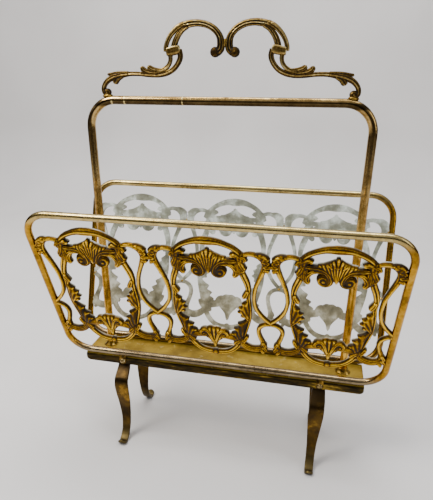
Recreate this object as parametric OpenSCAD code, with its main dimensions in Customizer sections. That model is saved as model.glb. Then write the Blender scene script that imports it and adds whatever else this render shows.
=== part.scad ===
// Brass magazine rack: two openwork sides on a footed base plate, with a carrying handle between them.
// X runs along the rack, Y from front to rear, Z up. The feet stand on Z = 0.

/* [Side frames] */
// Width over the rod centres at the top rail
frame_top_w = 400; // [396:1:410]
// Width over the rod centres at the bottom rail
frame_bottom_w = 389; // [386:1:394]
// Height of the top rail's centre above the ground
frame_top_z = 313; // [308:1:330]
// Distance from the middle of the rack to the top rail's centre
frame_top_y = 91.6; // [80:0.2:100]
// Diameter of the frame rod
rod_d = 8; // [7:0.5:9]
// Bend radius of the frame corners
frame_corner_r = 28; // [20:1:34]

/* [Cartouches] */
// Width of one cartouche between its ear tips
cartouche_w = 130; // [128:0.5:131]
// Height of one cartouche
cartouche_h = 173.5; // [168:0.5:178]
// Gap from the bottom rail's centre to the lowest point of a cartouche
cartouche_gap = 18.5; // [14:0.5:22]
// Thickness of a cast strand
strand_t = 4.6; // [4:0.2:5.2]
// Thickness of the leaf, shell and volute relief
relief_t = 6.8; // [6:0.2:7.6]

/* [Handle] */
// Half width of the handle frame at its top rail
handle_top_x = 157.6; // [152:0.2:162]
// Half width of the handle frame at the base plate
handle_foot_x = 151; // [146:0.5:156]
// Height of the handle rail's centre above the ground
handle_z = 425.6; // [380:0.2:460]
// Diameter of the handle bar
bar_d = 9.5; // [8:0.5:11]
// Bend radius of the handle corners
handle_corner_r = 30; // [24:1:36]
// Thickness of the cast scrolls on top of the handle
scroll_t = 6.6; // [5:0.2:8]

/* [Base] */
// Length of the base plate
plate_l = 349.6; // [340:0.2:356]
// Width of the base plate over its rolled lips
plate_w = 50.4; // [50:0.2:54]
// Height of the base plate's top face above the ground
plate_z = 113; // [108:1:120]
// Thickness of the base sheet
sheet_t = 1.6; // [1.2:0.1:2]
// Outer radius of the rolled lip
lip_r = 5.5; // [5:0.5:6]
// Height of the rolled lip
lip_h = 12.4; // [12:0.2:14]

/* [Legs] */
// Distance from the middle of the rack to a leg's screw
leg_top_x = 124; // [118:1:130]
// Distance from the middle of the rack to a foot
leg_foot_x = 119; // [114:1:128]
// Thickness of the leg strip
leg_t = 3; // [2.6:0.1:3.2]
// Height of the leg screws above the ground
screw_z = 105.6; // [105:0.2:106.4]

/* [Hidden] */
$fn = 48;

LEFT = -1;
RIGHT = 1;
FRONT = -1;
REAR = 1;

// How a straight run of rod or bar ends inside the bend it meets
bend_extra = 0.05;
run_overlap = 0.5;

// The bottom rail lies in line with the bend of the lip, and the side leans out from there.
lip_y = plate_w / 2;
flat_y = lip_y - lip_r;
rail_y = lip_y - 2;
rail_z = plate_z - lip_r + sqrt(pow(lip_r + (rod_d + bend_extra) / 2, 2) - pow(rail_y - flat_y, 2));
lean = atan((frame_top_y - rail_y) / (frame_top_z - rail_z));
side_h = norm([frame_top_y - rail_y, frame_top_z - rail_z]);
cast_back = -2;

// A cartouche is drawn on a grid this wide and this high, then brought to its size.
grid_w = 130;
grid_h = 170;

// Handle bar and the stud that holds each of its feet through the base plate
stud_r = 2.5;
stud_l = 8;
bore_gap = 0.1;
washer_r = 6;
washer_t = 1.2;
handle_nut_r = 5;
handle_nut_t = 4;

// Leg screw, its nut and the lug that it holds
screw_r = 2;
screw_head_r = 3.6;
screw_head_h = 2.4;
slot_w = 0.8;
slot_depth = 0.9;
leg_nut_r = 4;
leg_nut_t = 3;
lug_t = 1.6;
lug_r = 4.4;
leg_face_y = lip_y - sheet_t;
nut_y = leg_face_y - leg_t;

// ---------- curves ----------

// A point between b and c on a smooth curve through a, b, c and d
function curve_point(a, b, c, d, t) =
    0.5 * (2 * b + (c - a) * t + (2 * a - 5 * b + 4 * c - d) * t * t + (3 * b - a - 3 * c + d) * t * t * t);

// A smooth curve through the points p, with a number of steps from each point to the next
function curve(p, steps) = [
    for (i = [0:len(p) - 2], s = [0:steps - 1])
        curve_point(p[max(i - 1, 0)], p[i], p[i + 1], p[min(i + 2, len(p) - 1)], s / steps),
    p[len(p) - 1]
];

function across(p, i) =
    let (d = p[min(i + 1, len(p) - 1)] - p[max(i - 1, 0)]) [-d[1], d[0]] / norm(d);

// The outline of a band along p, w0 wide at its start and w1 wide at its end
function band(p, w0, w1) =
    let (n = len(p) - 1, half = [for (i = [0:n]) (w0 + (w1 - w0) * i / n) / 2])
    concat(
        [for (i = [0:n]) p[i] + across(p, i) * half[i]],
        [for (i = [n:-1:0]) p[i] - across(p, i) * half[i]]
    );

function inner(p) = [for (i = [1:len(p) - 2]) p[i]];
function flipped(p) = [for (i = [len(p) - 1:-1:0]) [-p[i][0], p[i][1]]];
// A right-hand line that ends on the middle, carried on over the left half
function joined(p) = concat(p, [for (i = [len(p) - 2:-1:0]) [-p[i][0], p[i][1]]]);
function arc(centre, r, a0, a1, steps) =
    [for (i = [0:steps]) let (a = a0 + (a1 - a0) * i / steps) centre + r * [cos(a), sin(a)]];

module both_sides() {
    children();
    mirror([1, 0]) children();
}

// ---------- rods ----------

function unit(v) = v / norm(v);

// A round rod bent through the corners p in the XY plane, with bends of radius r.
// The bends are a hair thicker than the straight runs, whose ends close inside them.
module bent_rod(p, d, r, closed) {
    n = len(p);
    first = closed ? 0 : 1;
    last = closed ? n - 1 : n - 2;
    reach = [
        for (i = [0:n - 1])
            (i < first || i > last) ? 0 : r / tan(corner_angle(p, i) / 2) - run_overlap
    ];
    for (i = [0:closed ? n - 1 : n - 2]) {
        a = p[i];
        b = p[(i + 1) % n];
        along = unit(b - a);
        start = a + along * reach[i];
        translate([start[0], start[1], 0])
            rotate([0, 90, atan2(along[1], along[0])])
                cylinder(h = norm(b - a) - reach[i] - reach[(i + 1) % n], d = d);
    }
    for (i = [first:last]) {
        to_next = unit(p[(i + 1) % n] - p[i]);
        to_last = unit(p[(i + n - 1) % n] - p[i]);
        half = corner_angle(p, i) / 2;
        centre = p[i] + unit(to_next + to_last) * r / sin(half);
        turn = to_last[0] * to_next[1] - to_last[1] * to_next[0];
        from = p[i] + (turn < 0 ? to_last : to_next) * r / tan(half) - centre;
        translate([centre[0], centre[1], 0])
            rotate([0, 0, atan2(from[1], from[0])])
                rotate_extrude(angle = 180 - 2 * half, $fn = 96)
                    translate([r, 0]) circle(d = d + bend_extra, $fn = 48);
    }
}

function corner_angle(p, i) =
    let (n = len(p), a = unit(p[(i + n - 1) % n] - p[i]), b = unit(p[(i + 1) % n] - p[i])) acos(a * b);

// ---------- side panels ----------

// Puts what is drawn flat, with its Y up the side from the bottom rail, on the front or rear side
module on_side(side) {
    rotate([0, 0, side == FRONT ? 0 : 180])
        translate([0, -rail_y, rail_z])
            rotate([90 + lean, 0, 0]) children();
}

frame_corners = [
    [-frame_bottom_w / 2, 0], [frame_bottom_w / 2, 0],
    [frame_top_w / 2, side_h], [-frame_top_w / 2, side_h]
];

module side_frame() {
    color("darkgoldenrod") bent_rod(frame_corners, rod_d, frame_corner_r, true);
}

// The upright rod of a side frame alone, which shapes the ear of the cartouche brazed to it
module upright_rod(end) {
    foot = [end * frame_bottom_w / 2, 0];
    top = [end * frame_top_w / 2, side_h];
    translate([foot[0], foot[1], 0])
        rotate([0, 90, atan2(top[1] - foot[1], top[0] - foot[0])])
            cylinder(h = side_h, d = rod_d);
}

// ---------- cartouche ----------

function on_grid(p) = [for (q = p) [q[0] * cartouche_w / grid_w, q[1] * cartouche_h / grid_h]];

// Centre lines of the strands on the right half, from the top down
ring_line = [
    [25, 141.5], [31, 135], [36.5, 123], [41, 111], [42.4, 97], [42.6, 82],
    [42, 64], [38.8, 49], [32, 33], [21.5, 13], [12, 6.8], [0, 4.2]
];
loop_line = [
    [34, 149], [43, 153.5], [52, 152.5], [58, 147], [59.4, 139.5], [53, 123],
    [49, 111], [47.5, 94], [48.4, 80], [54, 68.5], [65, 61]
];
scroll_line = [[65, 59.5], [57, 58], [51.3, 52], [49.6, 45], [51.8, 37], [57.4, 23.5], [58, 17]];
sweep_line = [[58, 17.5], [49, 16.8], [41, 20.5], [33, 28]];
bar_line = [[7, 141], [16, 142], [26, 141]];
arm_line = [[9, 33], [18, 32], [28, 34]];
brow_steps = 12;
brow_line = arc([0, 126], 40.8, 36, 90, brow_steps);

crown_leaf = [
    [22, 152], [26.5, 150], [31, 153.5], [36, 151.5], [39.5, 146], [36.5, 142.5], [40, 138],
    [39, 132.5], [34.5, 132.5], [31.5, 128], [27.5, 123.5], [21, 120.5], [22, 126.5], [25, 132],
    [22, 142], [23.5, 147]
];
ear_leaf = [
    [55.5, 131], [61.5, 132], [61, 136], [65, 139], [65, 143], [62, 144],
    [63, 149], [58.5, 149.5], [57, 154], [53, 153], [57, 145]
];
foot_leaf = [
    [54.5, 33], [59, 31.5], [58.5, 27.5], [61.5, 23.5], [60, 19.5], [61, 16],
    [56.5, 13.5], [50, 14], [50, 19], [54, 20.5], [54, 27]
];
heel_leaf = [
    [39, 39.5], [35.5, 34], [37.5, 28], [39, 22], [34.5, 17], [29.5, 14.5], [25, 17.5],
    [21.5, 22], [23.5, 28], [21, 33], [26, 38], [31, 42]
];
high_leaf = [[40.5, 104], [35.5, 100], [33, 96], [35, 92.5], [40.5, 92]];
waist_leaf = [[41, 86], [35, 82], [31, 77], [30, 71], [33, 66.5], [40, 66]];
low_leaf = [
    [40, 64], [33, 61], [27.5, 56.5], [26, 52.5], [28.5, 50], [23.5, 48], [21, 44.5],
    [25, 42], [22.5, 38.5], [27, 35], [34, 37]
];
palmette_half = [
    [0, 158.5], [2.4, 155.6], [4.8, 155.2], [5.4, 152.4], [9, 151.8], [9.8, 149.4], [13.6, 149.2],
    [14.8, 147], [20, 146], [21, 138], [13, 138], [6, 132], [0, 127.5]
];
shell_half = [
    [0, 48.5], [6, 48], [11, 45.5], [14, 41], [13.5, 35], [10, 29], [5, 24], [2.5, 19], [0, 14]
];
volute = [12, 129.2];
volute_r = 7.6;
shell_volute = [8.8, 35.5];
shell_volute_r = 6;

module outline(p) {
    polygon(on_grid(p));
}

module strands() {
    outline(band(curve(joined(ring_line), 3), 5.6, 5.6));
    outline(band(joined(brow_line), 6.2, 6.2));
    both_sides() {
        outline(band(curve(loop_line, 3), 4.8, 4.6));
        outline(band(curve(scroll_line, 3), 5, 5.4));
        outline(band(curve(sweep_line, 3), 5, 6));
    }
}

module relief() {
    outline(concat(palmette_half, inner(flipped(palmette_half))));
    outline(concat(shell_half, inner(flipped(shell_half))));
    both_sides() {
        outline(band(curve(bar_line, 3), 8.5, 8));
        outline(band(curve(arm_line, 2), 9, 8));
        for (leaf = [crown_leaf, ear_leaf, foot_leaf, heel_leaf, high_leaf, waist_leaf, low_leaf])
            outline(leaf);
        translate(on_grid([volute])[0]) circle(r = volute_r);
        translate(on_grid([shell_volute])[0]) circle(r = shell_volute_r);
    }
}

// One cast cartouche: strands with leaves, a palmette over the oval and a shell under it
module cartouche() {
    color("goldenrod") translate([0, cartouche_gap, cast_back])
        intersection() {
            union() {
                linear_extrude(strand_t) strands();
                linear_extrude(relief_t) relief();
            }
            translate([-cartouche_w / 2, -1, -1]) cube([cartouche_w, cartouche_h + 2, relief_t + 2]);
        }
}

// A cartouche in its place on a side, cut to the frame rod where it is brazed to it
module panel_cartouche(place) {
    difference() {
        translate([place * cartouche_w, 0, 0]) cartouche();
        if (place != 0) upright_rod(place);
    }
}

// ---------- handle ----------

module handle_frame() {
    below = bar_d;
    drift = (handle_top_x - handle_foot_x) * below / (handle_z - plate_z);
    corners = [
        [-handle_foot_x + drift, plate_z - below], [-handle_top_x, handle_z],
        [handle_top_x, handle_z], [handle_foot_x - drift, plate_z - below]
    ];
    color("peru") {
        difference() {
            rotate([90, 0, 0]) bent_rod(corners, bar_d, handle_corner_r, false);
            translate([-handle_top_x, -bar_d, plate_z - 2 * below])
                cube([2 * handle_top_x, 2 * bar_d, 2 * below]);
        }
        for (end = [LEFT, RIGHT])
            translate([end * handle_foot_x, 0, plate_z - stud_l])
                cylinder(h = stud_l + 1, r = stud_r);
    }
}

// Centre lines of the right-hand scroll in the XZ plane, from the handle's corner inwards
scroll_foot = [133.2, 433.6];
scroll_foot_r = 4.4;
stem_line = [
    [134.5, 431.5], [138, 436], [137, 442.5], [131, 449.5], [120, 452.8], [104, 453.6],
    [88, 452.6], [76, 452.2], [66, 454.5], [57, 461], [51, 468], [49.8, 475], [53, 479]
];
inner_line = [[92, 453.5], [80, 456], [70, 457.5], [62.5, 463.5], [60, 470], [62, 477]];
outer_arch_line = [[63, 475], [64.2, 482], [61, 490.5], [54, 498.5], [44, 503], [36, 504]];
inner_arch_line = [[53, 477], [52.8, 484], [50, 492], [44, 498.5], [36, 502]];
arch_line = [
    [46, 500.5], [38, 502.8], [29, 502.9], [19, 500.3], [10, 494.5], [4.3, 486.5],
    [3.2, 479.5], [6, 472.5]
];
arch_end = [10.2, 474.4];
arch_end_r = 5.4;
leaf_tip_line = [[116, 453], [125, 453.6], [132, 452.2]];
bud_line = [[118, 451], [122.5, 448], [124, 443]];
curl_lines = [[[72, 455.5], [79, 457.5], [84, 461.5]], [[80, 453.5], [87, 456], [91, 461.2]]];
curl_r = 2.8;
collar = [[48.6, 477.5], [51.5, 481.5], [64.5, 478.8], [66, 474.5], [60, 471.5], [50, 473]];

module scroll_strands() {
    polygon(band(curve(stem_line, 3), 5, 5.2));
    polygon(band(curve(inner_line, 3), 3.4, 4));
    polygon(band(curve(outer_arch_line, 3), 4, 4.4));
    polygon(band(curve(inner_arch_line, 3), 4, 4.4));
    polygon(band(curve(arch_line, 3), 6.2, 5.6));
    polygon(band(curve(leaf_tip_line, 3), 4, 2.6));
    polygon(band(curve(bud_line, 3), 4.5, 5.4));
    for (line = curl_lines) polygon(band(curve(line, 3), 3.6, 4.4));
    polygon(collar);
}

module scroll_balls() {
    translate(scroll_foot) circle(r = scroll_foot_r);
    translate(arch_end) circle(r = arch_end_r);
    for (line = concat(curl_lines, [bud_line])) translate(line[2]) circle(r = curl_r);
}

// The casting on one end of the handle rail; the two castings meet on the middle plane
module handle_scroll(end) {
    color("darkkhaki") mirror([end == LEFT ? 1 : 0, 0, 0])
        difference() {
            translate([0, scroll_t / 2, 0]) rotate([90, 0, 0]) {
                linear_extrude(scroll_t) scroll_strands();
                linear_extrude(scroll_t) scroll_balls();
            }
            handle_corner();
            translate([-bar_d, -bar_d, handle_z]) cube([bar_d, 2 * bar_d, 100]);
        }
}

// The bend and the near stretch of the handle bar, which shape the scroll's brazed foot
module handle_corner() {
    centre_x = handle_top_x - handle_corner_r;
    translate([centre_x, 0, handle_z - handle_corner_r]) rotate([90, 0, 0])
        rotate_extrude(angle = 90, $fn = 96)
            translate([handle_corner_r, 0]) circle(d = bar_d + bend_extra);
    translate([0, 0, handle_z]) rotate([0, 90, 0]) cylinder(h = centre_x, d = bar_d);
}

module handle_washer(end) {
    color("goldenrod") translate([end * handle_foot_x, 0, plate_z - sheet_t - washer_t])
        difference() {
            cylinder(h = washer_t, r = washer_r);
            translate([0, 0, -1]) cylinder(h = washer_t + 2, r = stud_r + bore_gap);
        }
}

module handle_nut(end) {
    color("darkgoldenrod")
        translate([end * handle_foot_x, 0, plate_z - sheet_t - washer_t - handle_nut_t])
            difference() {
                cylinder(h = handle_nut_t, r = handle_nut_r, $fn = 6);
                translate([0, 0, -1]) cylinder(h = handle_nut_t + 2, r = stud_r);
            }
}

// ---------- base plate ----------

module lip(side) {
    mirror([0, side == FRONT ? 1 : 0, 0]) {
        translate([-plate_l / 2, flat_y, plate_z - lip_r]) rotate([90, 0, 90])
            rotate_extrude(angle = 90) translate([lip_r - sheet_t, 0]) square([sheet_t, plate_l]);
        translate([-plate_l / 2, leg_face_y, plate_z - lip_h])
            cube([plate_l, sheet_t, lip_h - lip_r]);
    }
}

// What is cut away to round the lower corner of a lip at one end
module lip_corner(end) {
    corner_r = 5;
    mirror([end == LEFT ? 1 : 0, 0, 0])
        translate([plate_l / 2 - corner_r, 0, plate_z - lip_h + corner_r])
            difference() {
                translate([0, -plate_w, -corner_r - 1]) cube([corner_r + 1, 2 * plate_w, corner_r + 1]);
                rotate([90, 0, 0]) cylinder(h = 3 * plate_w, r = corner_r, center = true);
            }
}

module base_plate() {
    color("khaki") difference() {
        union() {
            translate([-plate_l / 2, -flat_y, plate_z - sheet_t])
                cube([plate_l, 2 * flat_y, sheet_t]);
            lip(FRONT);
            lip(REAR);
        }
        for (end = [LEFT, RIGHT]) {
            translate([end * handle_foot_x, 0, plate_z - 5])
                cylinder(h = 10, r = stud_r + bore_gap);
            translate([end * leg_top_x, 0, screw_z]) rotate([90, 0, 0])
                cylinder(h = 2 * plate_w, r = screw_r + bore_gap, center = true);
            lip_corner(end);
        }
    }
}

// ---------- legs and their fasteners ----------

// Puts what is drawn for the rear right corner at the corner given
module at_corner(end, side) {
    mirror([end == LEFT ? 1 : 0, 0, 0]) mirror([0, side == FRONT ? 1 : 0, 0]) children();
}

// The leg strip from the side, as distance outwards and height, from its top to its toe
leg_top_z = 109;
leg_top_y = leg_face_y - leg_t / 2;
leg_line = [
    [leg_top_y, 104], [leg_top_y, 99.4], [25.5, 94.5], [31.5, 89.2], [36.6, 84.4], [38.4, 77],
    [37.2, 66], [34.8, 52], [33.4, 38], [33.8, 26], [36.8, 14], [42.4, 5.8], [49, 1.3],
    [54.5, 2.6], [58, 6.4]
];
// The leg strip from the front, as half width and height
leg_width = [
    [7.5, 110], [7.6, 99], [8.7, 88], [9, 74], [8.4, 60], [7.2, 45], [5.8, 28], [5.2, 12], [5.2, -1]
];
toe_y = 60.2;
toe_r = 5.2;

function leg_x(z) = leg_foot_x + (leg_top_x - leg_foot_x) * z / screw_z;

module leg(end, side) {
    front = curve(leg_width, 3);
    color("saddlebrown") at_corner(end, side) difference() {
        intersection() {
            translate([leg_foot_x - 20, 0, 0]) rotate([90, 0, 90]) linear_extrude(40)
                polygon(concat(
                    [[nut_y, leg_top_z], [leg_face_y - 0.6, leg_top_z], [leg_face_y, plate_z - lip_r]],
                    band(curve(leg_line, 4), leg_t, leg_t)
                ));
            translate([0, 80, 0]) rotate([90, 0, 0]) linear_extrude(80)
                polygon(concat(
                    [for (q = front) [leg_x(q[1]) + q[0], q[1]]],
                    [for (i = [len(front) - 1:-1:0]) [leg_x(front[i][1]) - front[i][0], front[i][1]]]
                ));
            translate([leg_foot_x, 0, 0]) linear_extrude(leg_top_z + 1) {
                translate([0, toe_y - toe_r]) circle(r = toe_r);
                translate([-20, 0]) square([40, toe_y - toe_r]);
            }
        }
        translate([leg_top_x, 0, screw_z]) rotate([-90, 0, 0])
            cylinder(h = plate_w, r = screw_r + bore_gap);
    }
}

module frame_lug(end, side) {
    color("darkgoldenrod") at_corner(end, side) difference() {
        translate([leg_top_x, lip_y + lug_t, screw_z]) rotate([90, 0, 0]) linear_extrude(lug_t) {
            circle(r = lug_r);
            translate([-lug_r, 0]) square([2 * lug_r, rail_z - screw_z]);
        }
        translate([0, rail_y, rail_z]) rotate([0, 90, 0]) cylinder(h = frame_bottom_w / 2, d = rod_d);
        translate([leg_top_x, 0, screw_z]) rotate([-90, 0, 0])
            cylinder(h = plate_w, r = screw_r + bore_gap);
    }
}

module leg_screw(end, side) {
    shank_l = lug_t + sheet_t + leg_t + leg_nut_t + 1;
    ball_r = (pow(screw_head_r, 2) + pow(screw_head_h, 2)) / (2 * screw_head_h);
    color("gold") at_corner(end, side) translate([leg_top_x, lip_y + lug_t, screw_z]) rotate([-90, 0, 0]) {
        translate([0, 0, -shank_l]) cylinder(h = shank_l, r = screw_r);
        difference() {
            intersection() {
                translate([0, 0, screw_head_h - ball_r]) sphere(r = ball_r);
                cylinder(h = screw_head_h + 1, r = screw_head_r + 1);
            }
            translate([-slot_w / 2, -screw_head_r, screw_head_h - slot_depth])
                cube([slot_w, 2 * screw_head_r, slot_depth + 1]);
        }
    }
}

module leg_nut(end, side) {
    color("darkgoldenrod") at_corner(end, side) translate([leg_top_x, nut_y, screw_z]) rotate([90, 0, 0])
        difference() {
            cylinder(h = leg_nut_t, r = leg_nut_r, $fn = 6);
            translate([0, 0, -1]) cylinder(h = leg_nut_t + 2, r = screw_r);
        }
}

base_plate();
on_side(FRONT) side_frame();  // front_frame
on_side(REAR) side_frame();  // rear_frame
on_side(FRONT) panel_cartouche(-1);  // front_cartouche_left
on_side(FRONT) panel_cartouche(0);  // front_cartouche_middle
on_side(FRONT) panel_cartouche(1);  // front_cartouche_right
on_side(REAR) panel_cartouche(1);  // rear_cartouche_left
on_side(REAR) panel_cartouche(0);  // rear_cartouche_middle
on_side(REAR) panel_cartouche(-1);  // rear_cartouche_right
handle_frame();
handle_scroll(LEFT);  // handle_scroll_left
handle_scroll(RIGHT);  // handle_scroll_right
handle_washer(LEFT);  // handle_washer_left
handle_washer(RIGHT);  // handle_washer_right
handle_nut(LEFT);  // handle_nut_left
handle_nut(RIGHT);  // handle_nut_right
leg(LEFT, FRONT);  // leg_front_left
leg(RIGHT, FRONT);  // leg_front_right
leg(LEFT, REAR);  // leg_rear_left
leg(RIGHT, REAR);  // leg_rear_right
frame_lug(LEFT, FRONT);  // frame_lug_front_left
frame_lug(RIGHT, FRONT);  // frame_lug_front_right
frame_lug(LEFT, REAR);  // frame_lug_rear_left
frame_lug(RIGHT, REAR);  // frame_lug_rear_right
leg_screw(LEFT, FRONT);  // leg_screw_front_left
leg_screw(RIGHT, FRONT);  // leg_screw_front_right
leg_screw(LEFT, REAR);  // leg_screw_rear_left
leg_screw(RIGHT, REAR);  // leg_screw_rear_right
leg_nut(LEFT, FRONT);  // leg_nut_front_left
leg_nut(RIGHT, FRONT);  // leg_nut_front_right
leg_nut(LEFT, REAR);  // leg_nut_rear_left
leg_nut(RIGHT, REAR);  // leg_nut_rear_right
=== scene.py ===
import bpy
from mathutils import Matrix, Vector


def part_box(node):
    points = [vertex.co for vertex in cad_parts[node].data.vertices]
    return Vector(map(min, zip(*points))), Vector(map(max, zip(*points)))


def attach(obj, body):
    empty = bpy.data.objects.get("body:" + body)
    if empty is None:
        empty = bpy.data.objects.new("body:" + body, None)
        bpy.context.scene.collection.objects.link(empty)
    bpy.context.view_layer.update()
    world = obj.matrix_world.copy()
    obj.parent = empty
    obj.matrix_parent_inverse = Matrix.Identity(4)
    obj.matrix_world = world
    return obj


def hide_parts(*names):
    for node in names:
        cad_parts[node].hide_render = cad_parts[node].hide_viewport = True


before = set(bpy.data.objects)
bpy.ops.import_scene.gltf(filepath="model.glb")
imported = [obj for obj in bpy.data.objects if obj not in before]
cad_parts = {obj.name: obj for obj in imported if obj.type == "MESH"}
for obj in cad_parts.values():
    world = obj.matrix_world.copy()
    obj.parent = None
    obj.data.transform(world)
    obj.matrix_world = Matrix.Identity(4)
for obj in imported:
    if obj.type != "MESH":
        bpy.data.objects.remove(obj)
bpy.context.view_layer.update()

import math

import bmesh
import bpy
import numpy as np
from mathutils import Matrix, Vector
from mathutils.geometry import delaunay_2d_cdt

MM = 0.001
LEFT, RIGHT, FRONT, REAR = -1, 1, -1, 1
SIDE_NAMES = {FRONT: "front", REAR: "rear"}
END_NAMES = {LEFT: "left", RIGHT: "right"}

# ---------- the frame's own sizes, in mm ----------


def mm_box(node):
    lo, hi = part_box(node)
    return [c / MM for c in lo], [c / MM for c in hi]


PLATE_LO, PLATE_HI = mm_box("base_plate")
FRAME_LO, FRAME_HI = mm_box("rear_frame")
HANDLE_LO, HANDLE_HI = mm_box("handle_frame")
SCREW_LO, SCREW_HI = mm_box("leg_screw_rear_right")

ROD_R = 4.0
BAR_R = (HANDLE_HI[1] - HANDLE_LO[1]) / 2
PLATE_Z = PLATE_HI[2]
LIP_Y = PLATE_HI[1]
LIP_R = 5.5
SHEET_T = 1.6
RAIL_INSET = 2.0
RAIL_Y = LIP_Y - RAIL_INSET
RAIL_Z = FRAME_LO[2] + ROD_R
TOP_Y = FRAME_HI[1] - ROD_R
TOP_Z = FRAME_HI[2] - ROD_R
TOP_X = FRAME_HI[0] - ROD_R
FRAME_TAPER = 5.5
BOTTOM_X = TOP_X - FRAME_TAPER
FRAME_BEND = 28.0
SLANT = math.hypot(TOP_Y - RAIL_Y, TOP_Z - RAIL_Z)
LEAN = math.atan2(TOP_Y - RAIL_Y, TOP_Z - RAIL_Z)
HANDLE_X = HANDLE_HI[0] - BAR_R
HANDLE_TAPER = 6.6
HANDLE_FOOT_X = HANDLE_X - HANDLE_TAPER
HANDLE_Z = HANDLE_HI[2] - BAR_R
HANDLE_BEND = 30.0
CARTOUCHE_W = 130.0
CARTOUCHE_H = 173.5
CARTOUCHE_GAP = 18.5
GRID_H = 170.0
GRID_Y = CARTOUCHE_H / GRID_H
CAST_BACK = -2.0
SCREW_Z = (SCREW_LO[2] + SCREW_HI[2]) / 2
LEG_TOP_X = (SCREW_LO[0] + SCREW_HI[0]) / 2
LEG_SPLAY = 5.0
LEG_FOOT_X = LEG_TOP_X - LEG_SPLAY
LEG_T = 3.0


def panel_matrix(side):
    """From a side's own plane in mm (x along, y up the slant, z outwards) to the frame in metres."""
    lean = Matrix.Rotation(math.radians(90) + LEAN, 4, "X")
    shift = Matrix.Translation((0, -RAIL_Y, RAIL_Z))
    turn = Matrix.Rotation(0 if side == FRONT else math.pi, 4, "Z")
    return Matrix.Scale(MM, 4) @ turn @ shift @ lean


# The XZ plane of the handle, in mm, with z towards the front
UPRIGHT_PLANE = Matrix.Scale(MM, 4) @ Matrix.Rotation(math.radians(90), 4, "X")

# ---------- curves in a plane ----------


ARC_STEPS = 12


def curve_point(a, b, c, d, t):
    """The point at share t between b and c on the smooth curve through a, b, c and d."""
    return 0.5 * (2 * b + (c - a) * t + (2 * a - 5 * b + 4 * c - d) * t * t
                  + (3 * b - a - 3 * c + d) * t ** 3)


def smooth(points, steps, closed=False):
    """A smooth curve through points, with a number of steps between each two."""
    p = np.array(points, float)
    n = len(p)
    out = []
    for i in range(n if closed else n - 1):
        if closed:
            a, b, c, d = (p[(i + k) % n] for k in (-1, 0, 1, 2))
        else:
            a, b, c, d = p[max(i - 1, 0)], p[i], p[i + 1], p[min(i + 2, n - 1)]
        out += [curve_point(a, b, c, d, s / steps) for s in range(steps)]
    if not closed:
        out.append(p[-1])
    return np.array(out)


def resample(line, pitch, closed=False):
    """Points at an even pitch along a line, with all its columns carried over."""
    p = np.array(line, float)
    if closed:
        p = np.vstack([p, p[:1]])
    step = np.hypot(*np.diff(p[:, :2], axis=0).T)
    s = np.concatenate([[0], np.cumsum(step)])
    n = max(int(math.ceil(s[-1] / pitch)), 2)
    at = np.linspace(0, s[-1], n + 1)
    out = np.stack([np.interp(at, s, column) for column in p.T], 1)
    return out[:-1] if closed else out


def across(line, closed=False):
    """The unit vector to the left of the line at each of its points."""
    if closed:
        d = np.roll(line, -1, axis=0) - np.roll(line, 1, axis=0)
    else:
        d = np.gradient(line, axis=0)
    d = d / np.maximum(np.hypot(d[:, 0], d[:, 1])[:, None], 1e-9)
    return np.stack([-d[:, 1], d[:, 0]], 1)


def mirrored(points):
    """The same points on the other side of x = 0."""
    return [(-q[0], *q[1:]) for q in points]


def joined(points):
    """A right-hand line that ends on the middle, carried on over the left half."""
    return list(points) + mirrored(points[-2::-1])


def closed_half(points):
    """A right-hand outline from the middle to the middle, closed over the left half."""
    return list(points) + mirrored(points[-2:0:-1])


def rounded_path(corners, bend, closed, pitch=3.0):
    """Straight runs between the corners with arcs of the bend radius at them."""
    p = np.array(corners, float)
    n = len(p)
    out = []
    for i in range(n):
        if not closed and i in (0, n - 1):
            out.append(p[i])
            continue
        u = p[i - 1] - p[i]
        v = p[(i + 1) % n] - p[i]
        u, v = u / np.hypot(*u), v / np.hypot(*v)
        half = math.acos(float(np.clip(u @ v, -1, 1))) / 2
        mid = (u + v) / np.hypot(*(u + v))
        centre = p[i] + mid * bend / math.sin(half)
        start = p[i] + u * bend / math.tan(half) - centre
        end = p[i] + v * bend / math.tan(half) - centre
        a0 = math.atan2(start[1], start[0])
        turn = math.atan2(start[0] * end[1] - start[1] * end[0], start @ end)
        for k in range(ARC_STEPS + 1):
            a = a0 + turn * k / ARC_STEPS
            out.append(centre + bend * np.array([math.cos(a), math.sin(a)]))
    line = np.array(out)
    if closed:
        line = np.vstack([line, line[:1]])
    full = [line[0]]
    for a, b in zip(line, line[1:]):
        n_step = max(int(np.hypot(*(b - a)) / pitch), 1)
        full += [a + (b - a) * k / n_step for k in range(1, n_step + 1)]
    return np.array(full[:-1] if closed else full)


# ---------- meshes ----------


def new_mesh(name, verts, faces, matrix=None):
    mesh = bpy.data.meshes.new(name)
    mesh.from_pydata([tuple(map(float, v)) for v in verts], [], [tuple(map(int, f)) for f in faces])
    if matrix is not None:
        mesh.transform(matrix)
    mesh.update()
    return mesh


def fix_normals(mesh):
    bm = bmesh.new()
    bm.from_mesh(mesh)
    bmesh.ops.recalc_face_normals(bm, faces=bm.faces)
    bm.to_mesh(mesh)
    bm.free()


def smooth_shade(mesh, sharp_deg=50):
    fix_normals(mesh)
    mesh.shade_smooth()
    mesh.set_sharp_from_angle(angle=math.radians(sharp_deg))


def add_piece(name, mesh, material, nodes=()):
    """Puts a mesh in the scene as a piece that rides the rack's one body."""
    piece = bpy.data.objects.new(name, mesh)
    bpy.context.scene.collection.objects.link(piece)
    if not mesh.materials:
        mesh.materials.append(material)
    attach(piece, "root")
    if nodes:
        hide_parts(*nodes)
    return piece


def soften(piece, width_mm, angle_deg):
    """Rounds the edges sharper than an angle."""
    edge = piece.modifiers.new("edge", "BEVEL")
    edge.width = width_mm * MM
    edge.segments = 2
    edge.limit_method = "ANGLE"
    edge.angle_limit = math.radians(angle_deg)


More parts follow.
